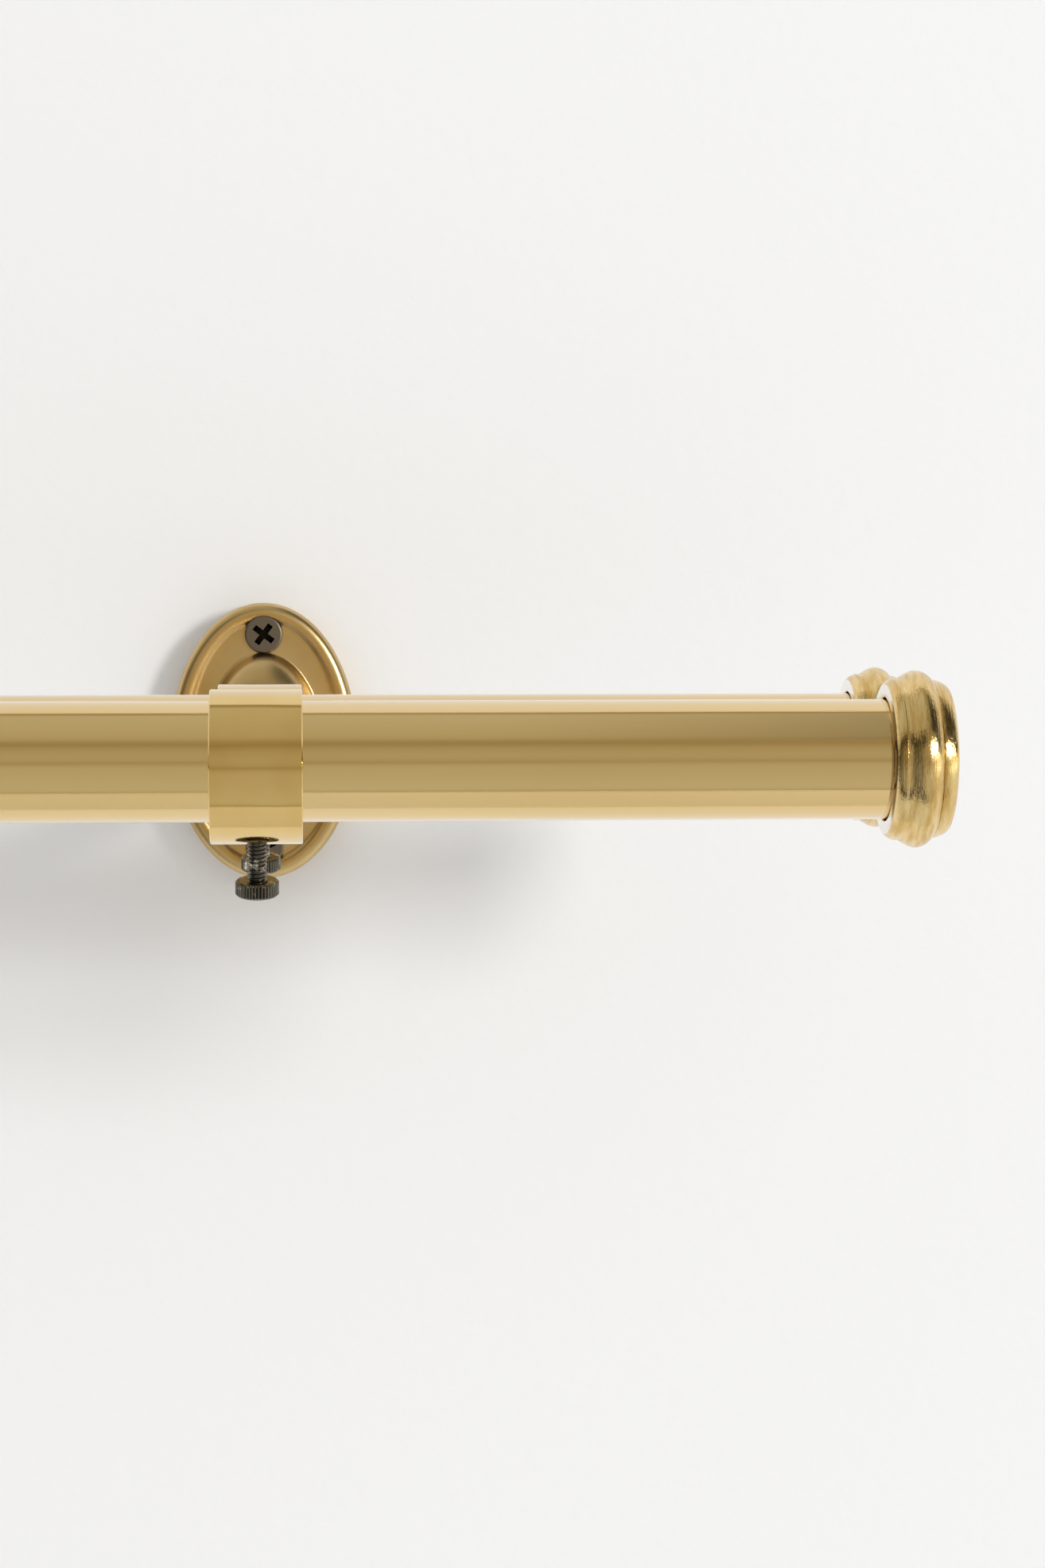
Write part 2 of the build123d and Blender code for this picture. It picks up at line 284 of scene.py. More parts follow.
# The wall fades into the backdrop at its edges, and gives light inside the hollow plates
def paintedWall():
    material, paint = newMaterial("painted_wall")
    rolled = paint.noise((260, 260, 260), detail=3.0)
    uneven = paint.noise((5, 5, 5), detail=1.0)
    color = paint.blendColor(uneven, wallLook["light"], wallLook["dull"])
    normal = paint.bump(rolled, 0.0004, 0.35)
    matt = paint.node("ShaderNodeBsdfDiffuse", {}, {"Color": color, "Roughness": 0.4, "Normal": normal})
    plain = paint.node("ShaderNodeEmission", {}, {"Color": room["backdrop"], "Strength": 1.0})
    clear = paint.node("ShaderNodeBsdfTransparent")
    aside = paint.node("ShaderNodeSeparateXYZ", {}, {0: paint.place()})
    height = aside.other("Z")
    sideFade = paint.between(abs(aside), *wallLook["sideFade"])
    heightFade = paint.between(abs(height - wallLook["middle"]), *wallLook["heightFade"])
    seen = paint.node("ShaderNodeLightPath", output="Is Camera Ray")
    edge = paint.larger(sideFade, heightFade) * seen
    halfWidth, halfHeight = wallLook["plateOval"]
    across = (abs(aside) - wallLook["plateAside"]) / halfWidth
    above = height / halfHeight
    underPlate = paint.between(across * across + above * above, 1.0, 0.97)
    faded = paint.blendShader(paint.larger(edge, underPlate), matt, plain)
    behind = paint.node("ShaderNodeNewGeometry", output="Backfacing")
    surface = paint.blendShader(behind, faded, clear)
    paint.node("ShaderNodeOutputMaterial", {}, {"Surface": surface})
    return material


def paleFloor():
    material, paint = newMaterial("pale_floor")
    worn = paint.noise((4, 4, 4), detail=2.0)
    color = paint.blendColor(worn, floorLook["light"], floorLook["dull"])
    matt = paint.node("ShaderNodeBsdfDiffuse", {}, {"Color": color, "Roughness": 0.3})
    plain = paint.node("ShaderNodeEmission", {}, {"Color": room["backdrop"], "Strength": 1.0})
    seen = paint.node("ShaderNodeLightPath", output="Is Camera Ray")
    surface = paint.blendShader(seen, matt, plain)
    paint.node("ShaderNodeOutputMaterial", {}, {"Surface": surface})
    return material


def addStagePlane(name, corners, material):
    mesh = bpy.data.meshes.new(name)
    mesh.from_pydata(corners, [], [(0, 1, 2, 3)])
    mesh.materials.append(material)
    plane = bpy.data.objects.new(name, mesh)
    bpy.context.scene.collection.objects.link(plane)


def buildStage():
    wide = stageSizes["halfWidth"]
    top = stageSizes["wallTop"]
    low = stageSizes["floorLevel"]
    reach = -stageSizes["floorReach"]
    wall = [(-wide, 0, low), (wide, 0, low), (wide, 0, top), (-wide, 0, top)]
    floor = [(-wide, reach, low), (wide, reach, low), (wide, 0, low), (-wide, 0, low)]
    addStagePlane("wall", wall, paintedWall())
    addStagePlane("floor", floor, paleFloor())


buildRoomLight()
addKeyLight()
buildStage()
print("room, lamp and wall ready")


lacquer = {"Coat Weight": 1.0, "Coat Roughness": 0.06, "Coat IOR": 1.5}

# Where cloudy noise starts and ends its change from one colour to the other
cloudSpan = (0.3, 0.7)

# Brass of the drawn tubes: satin, with faint marks along the length
tubeLook = {"bright": (0.805, 0.582, 0.255, 1), "deep": (0.775, 0.553, 0.225, 1), "roughness": 0.11}


def drawnTubeBrass(name, marks=1.0):
    material, metal = newMaterial(name)
    clouds = metal.noise((9, 55, 55), detail=3.0)
    streaks = metal.noise((14, 1500, 1500), detail=3.0, roughness=0.6)
    fine = metal.noise((40, 5200, 5200), detail=2.0)
    color = metal.blendColor(metal.between(clouds, *cloudSpan), tubeLook["bright"], tubeLook["deep"])
    roughness = tubeLook["roughness"] + (streaks - 0.5) * (0.10 * marks) + (clouds - 0.5) * 0.05
    wavy = metal.bump(metal.noise((4, 90, 90), detail=1.0), 0.0006, 0.10)
    normal = metal.bump(streaks + fine * 0.5, 0.00002, 0.25 * marks, wavy)
    metal.shader(color, roughness, 1.0, normal, **lacquer)
    return material


# Polished brass of the rings: brighter gloss, slightly wavy, with fine polishing lines round them
ringLook = {"bright": (0.785, 0.55, 0.195, 1), "deep": (0.75, 0.515, 0.165, 1), "roughness": 0.08}


def polishedRingBrass():
    material, metal = newMaterial("ring_brass")
    clouds = metal.noise((90, 70, 70), detail=3.0)
    lines = metal.noise((3200, 60, 60), detail=2.0)
    color = metal.blendColor(metal.between(clouds, *cloudSpan), ringLook["bright"], ringLook["deep"])
    roughness = ringLook["roughness"] + (lines - 0.5) * 0.06 + (clouds - 0.5) * 0.04
    wavy = metal.bump(metal.noise((60, 110, 110), detail=1.5), 0.0003, 0.35)
    normal = metal.bump(lines, 0.00001, 0.25, wavy)
    metal.shader(color, roughness, 1.0, normal, **lacquer)
    return material


# Turned brass of the finials: fine lathe lines round the axis under a slightly gritty plating. The back faces
# get a painted pale reflection, and painted shade on the room's side where the tube hides them; tight gaps
# get painted shade.
finialLook = {
    "bright": (0.83, 0.625, 0.30, 1),
    "deep": (0.62, 0.40, 0.125, 1),
    "paintedReflection": (0.90, 0.865, 0.80, 1),
    "shaded": (0.16, 0.10, 0.055, 1),
    "paintedShade": (0.020, 0.014, 0.008, 1),
    "roughness": 0.16,
    "hollow": 0.0008,
    "closed": 0.12,
    "open": 0.42,
    "facingBack": (0.90, 0.97),
    "backReach": (0.3632, 0.3622),
    "rearShadeBand": (-0.1206, -0.1236),
    "rearPast": (-0.160, -0.162),
    "frontShadeBand": (-0.1986, -0.2016),
}


def turnedFinialBrass():
    material, metal = newMaterial("finial_brass")
    clouds = metal.noise((700, 110, 110), detail=4.0, roughness=0.6)
    turning = metal.noise((2800, 75, 75), detail=3.0, roughness=0.65)
    grit = metal.noise((3400, 1100, 1100), detail=2.0)
    plated = metal.blendColor(metal.between(clouds, 0.35, 0.7), finialLook["bright"], finialLook["deep"])
    along = metal.node("ShaderNodeSeparateXYZ", {}, {0: metal.place()})
    depth = along.other("Y")
    pointing = metal.node("ShaderNodeNewGeometry", output="Normal")
    facing = metal.node("ShaderNodeSeparateXYZ", {}, {0: pointing})
    # Painted reflection: back faces pointing along the rod get a pale colour
    pointsBack = metal.between(abs(facing), *finialLook["facingBack"])
    back = pointsBack * metal.between(abs(along), *finialLook["backReach"])
    # Painted shade: a dark band on the back faces' room side, where the tube hides them
    rearShadeBand = metal.between(depth, *finialLook["rearShadeBand"]) - metal.between(depth, *finialLook["rearPast"])
    dull = rearShadeBand + metal.between(depth, *finialLook["frontShadeBand"])
    pale = metal.blendColor(dull, finialLook["paintedReflection"], finialLook["shaded"])
    clean = metal.blendColor(back, plated, pale)
    # Painted shade: the colour goes near black where the surface is closed in, as in the gap at the tube
    openness = metal.openness(finialLook["hollow"], 6)
    exposed = metal.between(openness, finialLook["closed"], finialLook["open"])
    color = metal.blendColor(exposed, finialLook["paintedShade"], clean)
    roughness = finialLook["roughness"] + (turning - 0.5) * 0.20 + (grit - 0.5) * 0.14
    coarse = metal.bump(turning, 0.00013, 0.62)
    normal = metal.bump(grit, 0.00009, 0.62, coarse)
    metal.shader(color, roughness, 1.0, normal)
    return material


# Pressed plate: satin sheet brass with a faint orange peel and hairline scratches
plateLook = {"bright": (0.69, 0.505, 0.245, 1), "deep": (0.59, 0.41, 0.175, 1), "roughness": 0.31}


def pressedPlateBrass():
    material, metal = newMaterial("plate_brass")
    clouds = metal.noise((60, 60, 60), detail=3.0)
    peel = metal.noise((900, 900, 900), detail=1.0)
    scratches = metal.noise((260, 60, 6000), (0.3, 0, 0), detail=2.0, roughness=0.6)
    color = metal.blendColor(metal.between(clouds, *cloudSpan), plateLook["bright"], plateLook["deep"])
    roughness = plateLook["roughness"] + (clouds - 0.5) * 0.08 + (scratches - 0.5) * 0.05
    soft = metal.bump(peel, 0.00006, 0.25)
    normal = metal.bump(scratches, 0.00001, 0.2, soft)
    metal.shader(color, roughness, 1.0, normal)
    return material


# Arm brass: drawn bar, duller than the rings
armLook = {"bright": (0.76, 0.545, 0.215, 1), "deep": (0.68, 0.46, 0.16, 1), "roughness": 0.19}


def drawnArmBrass():
    material, metal = newMaterial("arm_brass")
    clouds = metal.noise((80, 30, 80), detail=3.0)
    streaks = metal.noise((2400, 30, 2400), detail=3.0)
    color = metal.blendColor(metal.between(clouds, *cloudSpan), armLook["bright"], armLook["deep"])
    roughness = armLook["roughness"] + (streaks - 0.5) * 0.14
    normal = metal.bump(streaks, 0.00002, 0.35)
    metal.shader(color, roughness, 1.0, normal)
    return material


# Dark antique steel of the screws, rubbed bright in places, with painted shade where the surface is closed in
screwLook = {
    "dark": (0.205, 0.175, 0.150, 1),
    "rubbed": (0.30, 0.27, 0.24, 1),
    "paintedShade": (0.012, 0.011, 0.009, 1),
    "rubbedAt": (0.64, 0.76),
    "roughness": 0.36,
    "hollow": 0.0040,
    "closed": 0.52,
    "open": 0.90,
}
thumbLook = {
    "dark": (0.138, 0.128, 0.108, 1),
    "rubbed": (0.80, 0.76, 0.68, 1),
    "paintedShade": (0.016, 0.014, 0.011, 1),
    "rubbedAt": (0.55, 0.67),
    "roughness": 0.24,
    "hollow": 0.00035,
    "closed": 0.18,
    "open": 0.62,
}


def darkScrewSteel(name, look):
    material, metal = newMaterial(name)
    clouds = metal.noise((420, 420, 420), detail=4.0, roughness=0.6)
    grain = metal.noise((4200, 4200, 4200), detail=2.0)
    rubbed = metal.between(clouds, *look["rubbedAt"])
    # Painted shade: darker in the cross recess, the thread grooves and the knurl grooves
    openness = metal.openness(look["hollow"], 8)
    steel = metal.blendColor(rubbed, look["dark"], look["rubbed"])
    color = metal.blendColor(metal.between(openness, look["closed"], look["open"]), look["paintedShade"], steel)
    roughness = look["roughness"] + (grain - 0.5) * 0.12 - rubbed * 0.08
    normal = metal.bump(grain, 0.00003, 0.35)
    metal.shader(color, roughness, 1.0, normal)
    return material


# Bright zinc of the hidden studs and arm screws
zincLook = {"bright": (0.66, 0.67, 0.68, 1), "deep": (0.55, 0.56, 0.58, 1), "roughness": 0.33}


def zincSteel():
    material, metal = newMaterial("zinc_steel")
    spangle = metal.specks((900, 900, 900)).other("Color")
    patch = metal.node("ShaderNodeSeparateXYZ", {}, {0: spangle})
    grain = metal.noise((3600, 3600, 3600), detail=2.0)
    color = metal.blendColor(patch, zincLook["bright"], zincLook["deep"])
    roughness = zincLook["roughness"] + (patch - 0.5) * 0.08
    normal = metal.bump(grain, 0.00002, 0.3)
    metal.shader(color, roughness, 1.0, normal)
    return material


# Moulded nylon inside the tubes
nylonLook = {"light": (0.80, 0.79, 0.74, 1), "dull": (0.72, 0.70, 0.64, 1), "roughness": 0.46}


def mouldedNylon():
    material, plastic = newMaterial("nylon")
    clouds = plastic.noise((300, 300, 300), detail=3.0)
    grain = plastic.noise((2400, 2400, 2400), detail=2.0)
    color = plastic.blendColor(clouds, nylonLook["light"], nylonLook["dull"])
    roughness = nylonLook["roughness"] + (clouds - 0.5) * 0.1
    normal = plastic.bump(grain, 0.00004, 0.3)
    plastic.shader(color, roughness, 0.0, normal)
    return material


finishes = {
    "outer_tube": drawnTubeBrass("tube_brass"),
    "inner_tube": drawnTubeBrass("inner_tube_brass", 1.6),
    "ring": polishedRingBrass(),
    "post": drawnArmBrass(),
    "wall_plate": pressedPlateBrass(),
    "finial": turnedFinialBrass(),
    "wall_screw": darkScrewSteel("dark_screw", screwLook),
    "thumbscrew": darkScrewSteel("dark_thumbscrew", thumbLook),
    "stud": zincSteel(),
    "nylon": mouldedNylon(),
}
finishes["arm_screw"] = finishes["stud"]
for ending in ("end_plug", "mouth_bush", "glide_ring"):
    finishes[ending] = finishes["nylon"]

# Each solid takes the finish whose name ends its own, the longest one where two fit
for name, node in nodes.items():
    best = max((ending for ending in finishes if name.endswith(ending)), key=len)
    for slot in node.material_slots:
        slot.material = finishes[best]
print("finishes on")


# Modelling helpers. A piece is built round its own Z axis at the origin, then settled in its place.
closeness = {"weld": 0.000002, "turns": 0.00001, "cut": 0.0000001}
spareTurns = 1.5


def pickOut(piece):
    bpy.ops.object.select_all(action="DESELECT")
    piece.select_set(True)
    bpy.context.view_layer.objects.active = piece


# Goes into edit mode with only the chosen points selected
def selectPoints(piece, chosen):
    pickOut(piece)
    bpy.ops.object.mode_set(mode="EDIT")
    bpy.ops.mesh.select_mode(type="VERT")
    bpy.ops.mesh.select_all(action="DESELECT")
    bpy.ops.object.mode_set(mode="OBJECT")
    for vertex in piece.data.vertices:
        vertex.select = chosen(vertex)
    bpy.ops.object.mode_set(mode="EDIT")


def roundStations(outline):
    return [(radius, radius, level) for radius, level in outline]


# A circle, extruded and resized from station to station: half width, half height and level of each
def growRings(name, count, stations, capFirst=False, capLast=False):
    bpy.ops.object.select_all(action="DESELECT")
    width, height, level = stations[0]
    fill = "NGON" if capFirst else "NOTHING"
    bpy.ops.mesh.primitive_circle_add(vertices=count, radius=1.0, fill_type=fill, location=(0, 0, 0))
    piece = bpy.context.active_object
    piece.name = name
    bpy.ops.object.mode_set(mode="EDIT")
    bpy.ops.mesh.select_mode(type="EDGE")
    bpy.ops.mesh.select_all(action="SELECT")
    bpy.ops.transform.resize(value=(width, height, 1), center_override=(0, 0, 0))
    bpy.ops.transform.translate(value=(0, 0, level))
    if capFirst:
        bpy.ops.mesh.region_to_loop()
    for nextWidth, nextHeight, nextLevel in stations[1:]:
        bpy.ops.mesh.extrude_edges_move(TRANSFORM_OT_translate={"value": (0, 0, nextLevel - level)})
        grow = (nextWidth / width, nextHeight / height, 1)
        bpy.ops.transform.resize(value=grow, center_override=(0, 0, nextLevel))
        width, height, level = nextWidth, nextHeight, nextLevel
    if capLast:
        bpy.ops.mesh.edge_face_add()
    bpy.ops.object.mode_set(mode="OBJECT")
    return piece


# A line of edges through the points
def traceLine(name, points):
    bpy.ops.object.select_all(action="DESELECT")
    bpy.ops.mesh.primitive_plane_add(size=0.001, location=(0, 0, 0))
    piece = bpy.context.active_object
    piece.name = name
    bpy.ops.object.mode_set(mode="EDIT")
    bpy.ops.mesh.select_mode(type="VERT")
    bpy.ops.mesh.select_all(action="SELECT")
    bpy.ops.mesh.merge(type="CENTER")
    bpy.ops.transform.translate(value=points[0])
    for start, end in zip(points, points[1:]):
        step = tuple(b - a for a, b in zip(start, end))
        bpy.ops.mesh.extrude_region_move(TRANSFORM_OT_translate={"value": step})
    bpy.ops.object.mode_set(mode="OBJECT")
    return piece


def applyModifier(piece, kind, **settings):
    pickOut(piece)
    modifier = piece.modifiers.new(kind.lower(), kind)
    for name, value in settings.items():
        setattr(modifier, name, value)
    bpy.ops.object.modifier_apply(modifier=modifier.name)


# Welds doubled points, then turns the faces outwards
def turnOutward(piece):
    pickOut(piece)
    bpy.ops.object.mode_set(mode="EDIT")
    bpy.ops.mesh.select_all(action="SELECT")
    bpy.ops.mesh.remove_doubles(threshold=closeness["weld"])
    bpy.ops.mesh.normals_make_consistent(inside=False)
    bpy.ops.object.mode_set(mode="OBJECT")


# Cuts a closed shell across at a level and caps the cut
def cutAcross(piece, level, keepAbove):
    pickOut(piece)
    bpy.ops.object.mode_set(mode="EDIT")
    bpy.ops.mesh.select_all(action="SELECT")
    bpy.ops.mesh.bisect(
        plane_co=(0, 0, level),
        plane_no=(0, 0, 1),
        use_fill=True,
        clear_inner=keepAbove,
        clear_outer=not keepAbove,
        threshold=closeness["cut"],
    )
    bpy.ops.object.mode_set(mode="OBJECT")


# Threaded rod along Z, its ridge given as shares of the pitch with the radius at each. The thread is grown
# past both ends by the spare turns, then cut to length.
def threadedRod(name, ridge, pitch, low, high, steps):
    turns = int((high - low) / pitch) + round(2 * spareTurns)
    start = low - spareTurns * pitch
    rod = traceLine(name, [(radius, 0, start + share * pitch) for share, radius in ridge])
    applyModifier(
        rod,
        "SCREW",
        axis="Z",
        angle=2 * pi,
        screw_offset=pitch,
        iterations=turns,
        steps=steps,
        render_steps=steps,
        use_merge_vertices=True,
        merge_threshold=closeness["turns"],
    )
    turnOutward(rod)
    cutAcross(rod, low, True)
    cutAcross(rod, high, False)
    return rod


def joinPieces(pieces):
    bpy.ops.object.select_all(action="DESELECT")
    for piece in pieces:
        piece.select_set(True)
    bpy.context.view_layer.objects.active = pieces[0]
    bpy.ops.object.join()
    return pieces[0]


def smooth(piece, angle):
    pickOut(piece)
    bpy.ops.object.shade_smooth_by_angle(angle=radians(angle))


# A copy with its own mesh, turned and moved to its place with both in the mesh
def settledCopy(piece, name, turn, place):
    made = piece.copy()
    made.data = piece.data.copy()
    made.name = name
    made.data.name = name
    bpy.context.scene.collection.objects.link(made)
    made.rotation_euler = turn
    made.location = place
    pickOut(made)
    bpy.ops.object.transform_apply(location=True, rotation=True, scale=True)
    return made


def dropPattern(piece):
    bpy.data.objects.remove(piece, do_unlink=True)


# Where things sit, the same as in the solids
layout = {
    "left": -0.224,
    "right": 0.224,
    "rear": -0.112,
    "front": -0.190,
    "wallScrew": 0.0279,
    "tubeSetBack": 0.000249,
    "tubeLift": 0.001123,
    "finialBack": 0.3556,
    "rearShift": 0.005,
}

# Thumbscrews: cut thread and a straight-knurled head, leaning back under their rings. A dimple's floor and
# edge are shares of the head face's radius.
thumbscrew = {
    "lean": 12.5,
    "pitch": 0.00086,
    "ridge": (
        (0, 0.00172), (0.12, 0.00172), (0.42, 0.00213),
        (0.58, 0.00213), (0.88, 0.00172), (1.0, 0.00172),
    ),
    "threadSides": 40,
    "tip": 0.01172,
    "head": 0.0247,
    "headHeight": 0.0032,
    "headRadius": 0.00462,
    "chamfer": 0.00038,
    "teeth": 40,
    "pointsPerTooth": 3,
    "nearRim": 0.00002,
    "groove": 0.945,
    "lowDimple": {"floor": 0.62, "edge": 0.70, "depth": 0.00012},
    "highDimple": {"floor": 0.50, "edge": 0.55, "depth": 0.00015},
    "intoHead": 0.0006,
    "smoothBelow": 28,
}


def buildThumbscrews():
    part = thumbscrew
    low = part["head"]
    high = low + part["headHeight"]
    wide = part["headRadius"]
    face = wide - part["chamfer"]
    around = part["teeth"] * part["pointsPerTooth"]
    under, over = part["lowDimple"], part["highDimple"]
    tip, top = part["tip"], low + part["intoHead"]
    shank = threadedRod("thumb_thread", part["ridge"], part["pitch"], tip, top, part["threadSides"])
    outline = [
        (face * under["floor"], low + under["depth"]),
        (face * under["edge"], low),
        (face, low),
        (wide, low + part["chamfer"]),
        (wide, high - part["chamfer"]),
        (face, high),
        (face * over["edge"], high),
        (face * over["floor"], high - over["depth"]),
    ]
    head = growRings("thumb_head", around, roundStations(outline), True, True)
    turnOutward(head)

    def inGroove(vertex):
        spot = vertex.co.xy
        step = round(spot.angle_signed((1, 0)) / (2 * pi) * around)
        onRim = abs(spot.length - wide) < part["nearRim"]
        return onRim and step % part["pointsPerTooth"] == 0

    selectPoints(head, inGroove)
    bpy.ops.transform.resize(value=(part["groove"], part["groove"], 1), center_override=(0, 0, 0))
    bpy.ops.object.mode_set(mode="OBJECT")
    pattern = joinPieces([head, shank])
    smooth(pattern, part["smoothBelow"])
    pattern.data.materials.append(finishes["thumbscrew"])
    turn = (radians(180 + part["lean"]), 0, 0)
    for side in ("left", "right"):
        for rod in ("rear", "front"):
            name = f"{side}_{rod}_thumbscrew"
            made = settledCopy(pattern, "threaded_" + name, turn, (layout[side], layout[rod], 0))
            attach(made, name)
            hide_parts(name)
    dropPattern(pattern)


buildThumbscrews()
print("thumbscrews done")

# Wall screws: cross recess, rounded head edge and a coarse wood thread
wallScrew = {
    "face": 0.01179,
    "radius": 0.0049,
    "edge": 0.0005,
    "round": 0.0003,
    "roundShares": (0.4, 1.2),
    "faceShare": 0.86,
    "around": 96,
    "coneFoot": 0.0080,
    "shank": 0.0022,
    "pitch": 0.0021,
    "ridge": (
        (0, 0.00165), (0.30, 0.00165), (0.47, 0.00238),
        (0.53, 0.00238), (0.70, 0.00165), (1.0, 0.00165),
    ),
    "threadSides": 36,
    "threadTop": -0.001,
    "intoThread": 0.0004,
    "tip": -0.034,
    "taper": 0.0056,
    "taperSteps": 8,
    "taperBy": (0.80, 0.80, 1),
    "recessSpan": 0.0068,
    "recessArm": 0.00168,
    "recessDepth": 0.0026,
    "recessOver": 0.5,
    "recessFoot": (0.68, 0.78, 1),
    "turns": {"left_upper": 12, "left_lower": 71, "right_upper": -37, "right_lower": 24},
    "smoothBelow": 30,
}


# One arm pair of the recess cutter: a bar that narrows as it goes down, and stands proud of the face by a
# share of the recess's depth
def recessBar(turn):
    part = wallScrew
    face = part["face"]
    depth = part["recessDepth"]
    over = part["recessOver"]
    size = (part["recessSpan"], part["recessArm"], depth * (1 + over))
    bpy.ops.object.select_all(action="DESELECT")
    bpy.ops.mesh.primitive_cube_add(size=1.0, location=(0, 0, 0))
    bar = bpy.context.active_object
    bpy.ops.object.mode_set(mode="EDIT")
    bpy.ops.mesh.select_all(action="SELECT")
    bpy.ops.transform.resize(value=size, center_override=(0, 0, 0))
    bpy.ops.transform.translate(value=(0, 0, face - depth * (1 - over) / 2))
    bpy.ops.object.mode_set(mode="OBJECT")
    selectPoints(bar, lambda vertex: vertex.co.z < face)
    bpy.ops.transform.resize(value=part["recessFoot"], center_override=(0, 0, 0))
    bpy.ops.mesh.select_all(action="SELECT")
    bpy.ops.transform.rotate(value=-radians(turn), orient_axis="Z", center_override=(0, 0, 0))
    bpy.ops.object.mode_set(mode="OBJECT")
    return bar


def buildWallScrews():
    part = wallScrew
    radius = part["radius"]
    face = part["face"]
    turned = part["round"]
    near, far = part["roundShares"]
    outline = [
        (part["shank"], part["threadTop"] - part["intoThread"]),
        (part["shank"], part["coneFoot"]),
        (radius, face - part["edge"]),
        (radius, face - turned),
        (radius - turned * near, face - turned * near),
        (radius - turned * far, face),
        (radius * part["faceShare"], face),
    ]
    head = growRings("screw_head", part["around"], roundStations(outline), True, True)
    turnOutward(head)
    for turn in (0, 90):
        cutter = recessBar(turn)
        applyModifier(head, "BOOLEAN", operation="DIFFERENCE", solver="EXACT", object=cutter)
        dropPattern(cutter)
    tip, top = part["tip"], part["threadTop"]
    thread = threadedRod("wood_thread", part["ridge"], part["pitch"], tip, top, part["threadSides"])
    for step in range(part["taperSteps"]):
        level = tip + part["taper"] * (1 - step / part["taperSteps"])
        selectPoints(thread, lambda vertex: vertex.co.z < level)
        bpy.ops.transform.resize(value=part["taperBy"], center_override=(0, 0, 0))
        bpy.ops.object.mode_set(mode="OBJECT")
    pattern = joinPieces([head, thread])
    smooth(pattern, part["smoothBelow"])
    pattern.data.materials.append(finishes["wall_screw"])
    for side in ("left", "right"):
        for level, height in (("upper", layout["wallScrew"]), ("lower", -layout["wallScrew"])):
            name = f"{side}_{level}_wall_screw"
            spin = radians(part["turns"][f"{side}_{level}"])
            twisted = settledCopy(pattern, "twisted_screw", (0, 0, spin), (0, 0, 0))
            made = settledCopy(twisted, "threaded_" + name, (radians(90), 0, 0), (layout[side], 0, height))
            dropPattern(twisted)
            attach(made, "brackets")
            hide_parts(name)
    dropPattern(pattern)


buildWallScrews()
print("wall screws done")

# Rings cut from thick tube, their edges broken by a small chamfer
ring = {
    "outer": 0.0162,
    "bore": 0.0140,
    "width": 0.0193,
    "chamfer": 0.00022,
    "hole": 0.00215,
    "drillReach": 1.05,
    "drillSides": 64,
    "around": 240,
    "smoothBelow": 30,
}


def buildRings():
    part = ring
    cut = part["chamfer"]
    half = part["width"] / 2
    outer = part["outer"]
    bore = part["bore"]
    outline = [
        (outer - cut, -half),
        (outer, cut - half),
        (outer, half - cut),
        (outer - cut, half),
        (bore + cut, half),
        (bore, half - cut),
        (bore, cut - half),
        (bore + cut, -half),
        (outer - cut, -half),
    ]
    pattern = growRings("cut_ring", part["around"], roundStations(outline))
    turnOutward(pattern)
    pickOut(pattern)
    pattern.rotation_euler = (0, radians(90), 0)
    bpy.ops.object.transform_apply(location=True, rotation=True, scale=True)
    lean = radians(thumbscrew["lean"])
    reach = outer * part["drillReach"]
    bpy.ops.object.select_all(action="DESELECT")
    bpy.ops.mesh.primitive_cylinder_add(
        vertices=part["drillSides"],
        radius=part["hole"],
        depth=outer,
        location=(0, reach * sin(lean), -reach * cos(lean)),
        rotation=(lean, 0, 0),
    )
    drill = bpy.context.active_object
    applyModifier(pattern, "BOOLEAN", operation="DIFFERENCE", solver="EXACT", object=drill)
    dropPattern(drill)
    smooth(pattern, part["smoothBelow"])
    pattern.data.materials.append(finishes["ring"])
    for side in ("left", "right"):
        for rod in ("rear", "front"):
            name = f"{side}_{rod}_ring"
            made = settledCopy(pattern, "chamfered_" + name, (0, 0, 0), (layout[side], layout[rod], 0))
            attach(made, "brackets")
            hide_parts(name)
    dropPattern(pattern)


buildRings()
print("rings done")

# Turned end-cap finials, in millimetres: distance along and radius, from the back edge over the collar, cove,
# bead, step and end band to the end face
finial = {
    "outline": (
        (0.72, 15.45), (0.78, 15.78), (0.95, 16.12), (1.22, 16.44), (1.58, 16.70), (2.05, 16.93),
        (2.48, 17.09), (2.84, 17.20), (2.90, 17.10), (3.10, 17.08), (3.50, 17.17), (4.00, 17.40),
        (4.50, 17.69), (5.00, 17.99), (5.50, 18.27), (6.00, 18.50), (6.50, 18.66), (7.00, 18.74),
        (7.50, 18.74), (8.00, 18.66), (8.50, 18.50), (9.00, 18.26), (9.50, 17.93), (9.90, 17.58),
        (10.25, 17.17), (10.50, 16.84), (10.62, 16.68), (10.72, 16.74), (11.00, 16.74), (11.50, 16.62),
        (12.10, 16.42), (12.70, 16.18), (13.20, 15.92), (13.55, 15.66), (13.78, 15.38), (13.90, 15.05),
        (13.90, 12.50), (13.84, 12.30), (13.84, 6.00),
    ),
    "socketDepth": 8.4,
    "sockets": {"right": 13.05, "left": 11.45},
    "mouth": ((0.95, 0), (0.72, 0.18)),
    "around": 176,
    "smoothBelow": 26,
}


